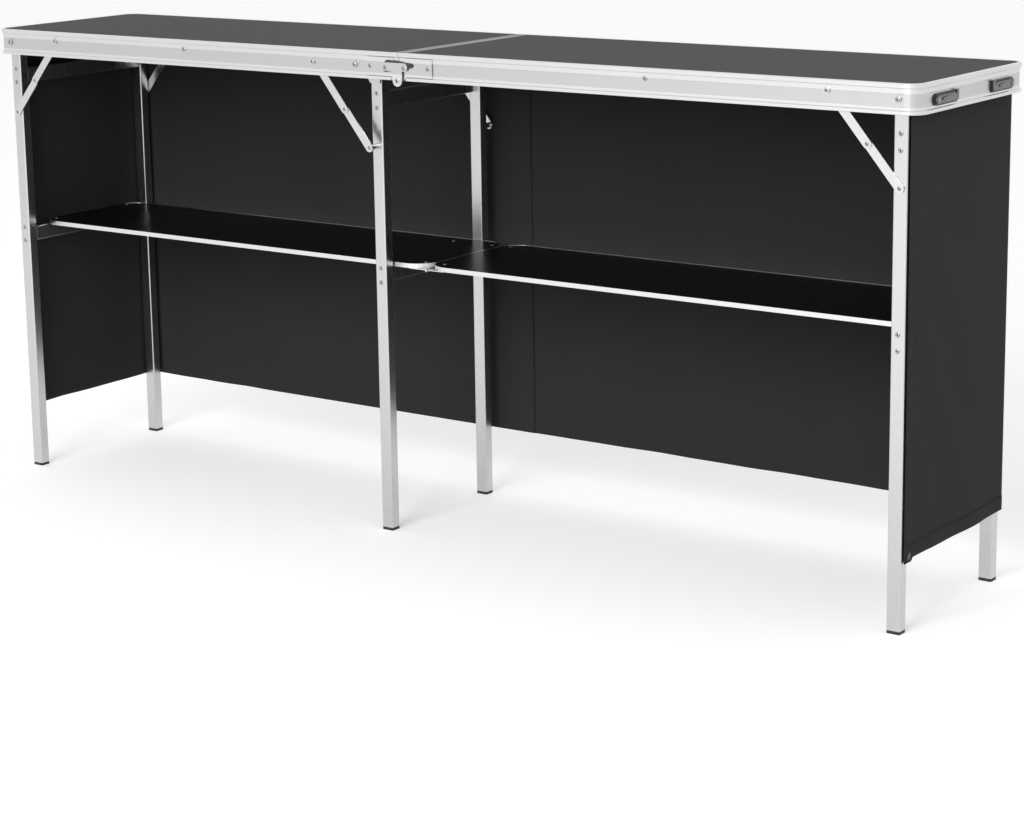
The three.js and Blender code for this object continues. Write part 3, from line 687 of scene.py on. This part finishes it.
# Left cloth: from the solid hem's outer face in to the middle of the cloth, and the corner's bend.
HEM_TO_MIDDLE = 0.8 * MM
CORNER_BEND = 6.6 * MM

# Waves: shares of the sway, wavelengths in metres, and how the quick wave slants and is set off.
MEAN_SHARE = 0.5
SLOW_SHARE = 0.32
SLOW_WAVE = 0.31
QUICK_SHARE = 0.18
QUICK_WAVE = 0.23
QUICK_ALONG = 1.7
QUICK_UP = 0.9
QUICK_PHASE = 2.1

# Stitches, and the flap at the front corner of the right end cloth.
STITCH_RADIUS = 0.95 * MM
STITCH_PROUD = 0.3 * MM
FLAP_WIDTH = 26 * MM
FLAP_DROP = 6 * MM

# Tab beside the shelf and snap on the flap, measured from the right end cloth's front edge.
TAB_INSET = 1 * MM
TAB_WIDTH = 12 * MM
TAB_LENGTH = 83 * MM
TAB_LOW = 447 * MM
TAB_CROWN = 0.6 * MM
TAB_THICKNESS = 0.9 * MM
TRIM_PROUD = 0.5 * MM
SNAP_INSET = 13 * MM
SNAP_RISE = 11 * MM


def plan_left(length):
    """Plan of the left cloth by length: along the left end, round a quarter circle, along the back."""
    low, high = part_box("skirt_left")
    start = low[1]
    centre_x = low[0] + HEM_TO_MIDDLE + CORNER_BEND
    centre_y = high[1] - HEM_TO_MIDDLE - CORNER_BEND
    first = centre_y - start
    bend = CORNER_BEND * np.pi / 2
    angle = np.pi - np.clip((length - first) / bend, 0.0, 1.0) * np.pi / 2
    past = np.clip(length - first - bend, 0.0, None)
    px = centre_x + CORNER_BEND * np.cos(angle) + past
    py = np.minimum(start + length, centre_y) + CORNER_BEND * np.sin(angle)
    return px, py, np.cos(angle), np.sin(angle), first + bend + (high[0] - centre_x)


def plan_right_back(length):
    """Plan of the right back cloth by length: straight along the back."""
    low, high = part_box("skirt_right_back")
    y = (low[1] + high[1]) / 2
    zero = np.zeros_like(length)
    return low[0] + length, zero + y, zero, zero + 1.0, high[0] - low[0]


def plan_right_end(length):
    """Plan of the right end cloth by length: straight along the end, from the front to the back."""
    low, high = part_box("skirt_right_end")
    x = (low[0] + high[0]) / 2
    zero = np.zeros_like(length)
    return zero + x, low[1] + length, zero + 1.0, zero, high[1] - low[1]


Cloth = namedtuple("Cloth", "plan low top phase calm")


def cloth_points(cloth, length, height):
    """Cloth surface: the plan raised to each height, pushed outward by slow waves.

    The waves are two sines of length and height. They die at the cloth's top and at its two ends,
    and over a calm stretch before its far end.
    """
    px, py, nx, ny, whole = cloth.plan(length)
    drop = np.clip((cloth.top - STILL_TOP - height) / (cloth.top - cloth.low), 0.0, 1.0)
    to_end = np.minimum(length, whole - cloth.calm - length)
    ends = np.clip(to_end / STILL_END, 0.0, 1.0) ** 2
    slow = SLOW_SHARE * np.sin(2 * np.pi * length / SLOW_WAVE + cloth.phase)
    slant = length * QUICK_ALONG + height * QUICK_UP
    quick = QUICK_SHARE * np.sin(2 * np.pi * slant / QUICK_WAVE + QUICK_PHASE * cloth.phase)
    out = sizes().cloth_sway * drop * ends * (MEAN_SHARE + slow + quick)
    return np.stack([px + nx * out, py + ny * out, height], axis=-1), nx, ny


def cloth_grid(cloth, columns, rows, span, shift=0.0, flap=None):
    """A cloth grid: length across, height up over a span, moved outward by shift, with a UV map in metres.

    A flap (width, drop) lowers the bottom edge over its width.
    """
    whole = cloth.plan(np.zeros(1))[4]
    u, v = np.meshgrid(np.linspace(0.0, whole, columns), np.linspace(0.0, 1.0, rows))
    bottom = np.full_like(u, span[0])
    if flap is not None:
        bottom = np.where(u < flap[0], span[0] - flap[1], span[0])
    z = bottom + (span[1] - bottom) * v
    points, nx, ny = cloth_points(cloth, u, z)
    points[..., 0] += nx * shift
    points[..., 1] += ny * shift
    return points.reshape(-1, 3), grid_faces(rows, columns), np.stack([u, z], axis=-1).reshape(-1, 2)


def grid_faces(rows, columns):
    """Quads of a grid whose points run row by row."""
    index = np.arange(rows * columns).reshape(rows, columns)
    corners = [index[:-1, :-1], index[:-1, 1:], index[1:, 1:], index[1:, :-1]]
    return np.stack(corners, axis=-1).reshape(-1, 4)


def cloth_piece(name, grid, thickness, body):
    """A thin cloth object: the grid thickened evenly, with a UV map that follows the weave."""
    points, faces, uv = grid
    thing = piece(name, points, faces, "cloth", body)
    layer = thing.data.uv_layers.new(name="weave")
    corners = np.empty(len(thing.data.loops), dtype=np.int32)
    thing.data.loops.foreach_get("vertex_index", corners)
    layer.data.foreach_set("uv", uv[corners].astype(np.float32).ravel())
    wall = thing.modifiers.new("cloth", "SOLIDIFY")
    wall.thickness = thickness
    wall.offset = 0.0
    return thing


def stitches(name, cloth, height, body):
    """A row of stitches along a cloth at one height, each a spindle along the seam."""
    size = sizes()
    whole = cloth.plan(np.zeros(1))[4]
    count = int(whole / size.stitch_pitch) - 2
    length = (np.arange(count) + 1.5) * whole / (count + 2)
    z = np.full_like(length, height)
    places, nx, ny = cloth_points(cloth, length, z)
    seam = np.stack([ny, -nx, np.zeros_like(nx)], axis=1)
    outward = np.stack([nx, ny, np.zeros_like(nx)], axis=1)
    shape = stitch_shape(size.stitch_length, STITCH_RADIUS)
    points, faces = scattered(shape, places + outward * STITCH_PROUD, seam, outward)
    return piece(name, points, faces, "thread", body)


class BAR_OT_skirt(bpy.types.Operator):
    """Makes the three cloths of the skirt with their hems, stitches, tab and snap"""

    bl_idname = "bar.skirt"
    bl_label = "Skirt"

    def execute(self, context):
        size = sizes()
        flap = (FLAP_WIDTH, FLAP_DROP)
        # Each cloth: node, plan, body, phase of its waves, grid columns, corner flap, carrier, calm stretch.
        cloths = (
            ("skirt_left", plan_left, "left_half", 0.4, 170, None, "rim_left", SWEPT),
            ("skirt_right_back", plan_right_back, "right_half", 1.9, 130, None, "rim_right", 0.0),
            ("skirt_right_end", plan_right_end, "right_end_skirt", 3.1, 60, flap, "skirt_header_right", 0.0),
        )
        for node, plan, body, phase, columns, corner, carrier, calm in cloths:
            low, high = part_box(node)
            bottom = low[2] + (corner[1] if corner else 0.0)
            top = high[2]
            hem_top = bottom + size.hem_height
            cloth = Cloth(plan, bottom, top, phase, calm)
            grid = cloth_grid(cloth, columns, CLOTH_ROWS, (bottom, top), flap=corner)
            sheet = cloth_piece(f"cloth_{node}", grid, size.cloth_thickness, body)
            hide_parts(node)
            hem_grid = cloth_grid(cloth, columns, HEM_ROWS, (bottom, hem_top), HEM_SHIFT)
            hem = cloth_piece(f"hem_{node}", hem_grid, size.cloth_thickness, body)
            row = stitches(f"stitches_{node}", cloth, hem_top - SEAM_INSET, body)
            flat = (plan(np.zeros(1))[4], top - bottom)
        self.tab_and_snap()
        return {"FINISHED"}

    def tab_and_snap(self):
        """The fastening tab beside the shelf and the snap on the flap, both on the right end cloth."""
        low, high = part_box("skirt_right_end")
        x = high[0] + TRIM_PROUD
        edge = low[1] + TAB_INSET
        across = np.linspace(edge, edge + TAB_WIDTH, 5)
        y, z = np.meshgrid(across, np.linspace(TAB_LOW, TAB_LOW + TAB_LENGTH, 9))
        crown = TAB_CROWN * np.cos((z - TAB_LOW - TAB_LENGTH / 2) / TAB_LENGTH * np.pi)
        points = np.stack([x + crown, y, z], axis=-1).reshape(-1, 3)
        faces = grid_faces(*y.shape)
        uv = np.stack([y, z], axis=-1).reshape(-1, 2)
        tab = cloth_piece("skirt_tab", (points, faces, uv), TAB_THICKNESS, "right_end_skirt")
        spot = ((x, low[1] + SNAP_INSET, low[2] + SNAP_RISE), (1.0, 0.0, 0.0))
        snap = snap_shape(sizes().snap_radius)
        heads("skirt_snap", snap, [spot], "dark_steel", "right_end_skirt")


# Stage: the camera's place, turns in radians and lens in millimetres, then the lamps and the floor.
CAMERA_PLACE = (2.7610, -3.6713, 1.3295)
CAMERA_YAW = 0.6278
CAMERA_PITCH = -0.2105
CAMERA_ROLL = -0.0154
CAMERA_LENS = 90.24
CAMERA_SHIFT_Y = -0.08
SENSOR_WIDTH = 36.0
LAMP_AIM = (0.0, 0.0, 0.5)
KEY_PLACE = (0.6, -5.6, 3.0)
KEY_SIZE = 3.0
KEY_POWER = 210.0
FILL_PLACE = (3.8, -2.2, 2.6)
FILL_SIZE = 2.6
FILL_POWER = 8.0
WORLD_LIGHT = 0.64
FLOOR_HALF = 40.0
FLOOR_ROUGHNESS = 0.9
FLOOR_LIFT = 0.36
WHITE = (1.0, 1.0, 1.0, 1.0)


def seen_rays(tree):
    """A socket that is 1 for camera, glossy and transmission rays and 0 for the rest."""
    path = tree.nodes.new("ShaderNodeLightPath")
    value = path.outputs["Is Camera Ray"]
    for ray in ("Is Glossy Ray", "Is Transmission Ray"):
        either = tree.nodes.new("ShaderNodeMath")
        either.operation = "MAXIMUM"
        tree.links.new(value, either.inputs[0])
        tree.links.new(path.outputs[ray], either.inputs[1])
        value = either.outputs["Value"]
    return value


class BAR_OT_stage(bpy.types.Operator):
    """Makes the camera, the pale floor and the soft light"""

    bl_idname = "bar.stage"
    bl_label = "Stage"

    def execute(self, context):
        scene = context.scene
        scene.view_settings.view_transform = "Standard"
        self.camera(scene)
        self.floor(scene)
        self.light(scene, "key", KEY_PLACE, KEY_SIZE, KEY_POWER)
        self.light(scene, "fill", FILL_PLACE, FILL_SIZE, FILL_POWER)
        self.world(scene)
        return {"FINISHED"}

    def camera(self, scene):
        """A camera turned by yaw, pitch and roll, with a small vertical shift."""
        yaw, pitch, roll = CAMERA_YAW, CAMERA_PITCH, CAMERA_ROLL
        level = Vector((-math.sin(yaw), math.cos(yaw), 0.0))
        ahead = level * math.cos(pitch) + Vector((0.0, 0.0, math.sin(pitch)))
        right = Vector((math.cos(yaw), math.sin(yaw), 0.0))
        up = right.cross(ahead)
        side = right * math.cos(roll) + up * math.sin(roll)
        top = up * math.cos(roll) - right * math.sin(roll)
        data = bpy.data.cameras.new("camera")
        data.sensor_width = SENSOR_WIDTH
        data.lens = CAMERA_LENS
        data.shift_y = CAMERA_SHIFT_Y
        camera = bpy.data.objects.new("camera", data)
        turn = Matrix((side, top, -ahead)).transposed().to_4x4()
        camera.matrix_world = Matrix.Translation(CAMERA_PLACE) @ turn
        scene.collection.objects.link(camera)
        scene.camera = camera

    def floor(self, scene):
        """A wide pale floor that keeps the bar's shadow."""
        corners = ((-1.0, -1.0), (1.0, -1.0), (1.0, 1.0), (-1.0, 1.0))
        points = [(x * FLOOR_HALF, y * FLOOR_HALF, 0.0) for x, y in corners]
        mesh = bpy.data.meshes.new("floor")
        mesh.from_pydata(points, [], [(0, 1, 2, 3)])
        material = bpy.data.materials.new("floor")
        material.use_nodes = True
        shader = material.node_tree.nodes["Principled BSDF"]
        shader.inputs["Base Color"].default_value = (*colours().floor, 1.0)
        shader.inputs["Roughness"].default_value = FLOOR_ROUGHNESS
        self.lifted(material)
        mesh.materials.append(material)
        floor = bpy.data.objects.new("floor", mesh)
        scene.collection.objects.link(floor)

    def lifted(self, material):
        """Adds a little white light of the floor's own for the eye and for reflections."""
        nodes = material.node_tree.nodes
        link = material.node_tree.links.new
        glow = nodes.new("ShaderNodeEmission")
        amount = nodes.new("ShaderNodeMath")
        amount.operation = "MULTIPLY"
        amount.inputs[1].default_value = FLOOR_LIFT
        link(seen_rays(material.node_tree), amount.inputs[0])
        link(amount.outputs["Value"], glow.inputs["Strength"])
        both = nodes.new("ShaderNodeAddShader")
        link(nodes["Principled BSDF"].outputs["BSDF"], both.inputs[0])
        link(glow.outputs["Emission"], both.inputs[1])
        link(both.outputs["Shader"], nodes["Material Output"].inputs["Surface"])

    def light(self, scene, name, place, size, power):
        """A square soft lamp aimed at the middle of the bar."""
        data = bpy.data.lights.new(name, "AREA")
        data.shape = "SQUARE"
        data.size = size
        data.energy = power
        lamp = bpy.data.objects.new(name, data)
        lamp.location = place
        lamp.rotation_euler = (Vector(LAMP_AIM) - Vector(place)).to_track_quat("-Z", "Y").to_euler()
        scene.collection.objects.link(lamp)

    def world(self, scene):
        """Even soft light all round, which is plain white to the eye and in reflections."""
        world = bpy.data.worlds.new("studio")
        world.use_nodes = True
        nodes = world.node_tree.nodes
        link = world.node_tree.links.new
        back = nodes["Background"]
        back.inputs["Color"].default_value = WHITE
        back.inputs["Strength"].default_value = WORLD_LIGHT
        white = nodes.new("ShaderNodeBackground")
        white.inputs["Color"].default_value = WHITE
        mix = nodes.new("ShaderNodeMixShader")
        link(seen_rays(world.node_tree), mix.inputs["Fac"])
        link(back.outputs["Background"], mix.inputs[1])
        link(white.outputs["Background"], mix.inputs[2])
        link(mix.outputs["Shader"], nodes["World Output"].inputs["Surface"])
        scene.world = world


class BAR_PT_panel(bpy.types.Panel):
    """Lists the steps that dress the bar"""

    bl_idname = "BAR_PT_panel"
    bl_label = "Portable bar"
    bl_space_type = "VIEW_3D"
    bl_region_type = "UI"
    bl_category = "Bar"

    def draw(self, context):
        for step in STEPS:
            self.layout.operator(step.bl_idname)


STEPS = (BAR_OT_finishes, BAR_OT_rivets, BAR_OT_screws, BAR_OT_skirt, BAR_OT_stage)
CLASSES = (BarSizes, BarColours, *STEPS, BAR_PT_panel)


def register():
    """Registers the classes and hangs the settings on the scene."""
    for cls in CLASSES:
        bpy.utils.register_class(cls)
    bpy.types.Scene.bar_sizes = bpy.props.PointerProperty(type=BarSizes)
    bpy.types.Scene.bar_colours = bpy.props.PointerProperty(type=BarColours)


def unregister():
    """Takes the settings and the classes away again."""
    del bpy.types.Scene.bar_colours
    del bpy.types.Scene.bar_sizes
    for cls in reversed(CLASSES):
        bpy.utils.unregister_class(cls)


def main():
    """Dresses the bar."""
    register()
    bpy.ops.bar.finishes()
    bpy.ops.bar.rivets()
    bpy.ops.bar.screws()
    bpy.ops.bar.skirt()
    bpy.ops.bar.stage()


if __name__ == "__main__":
    main()
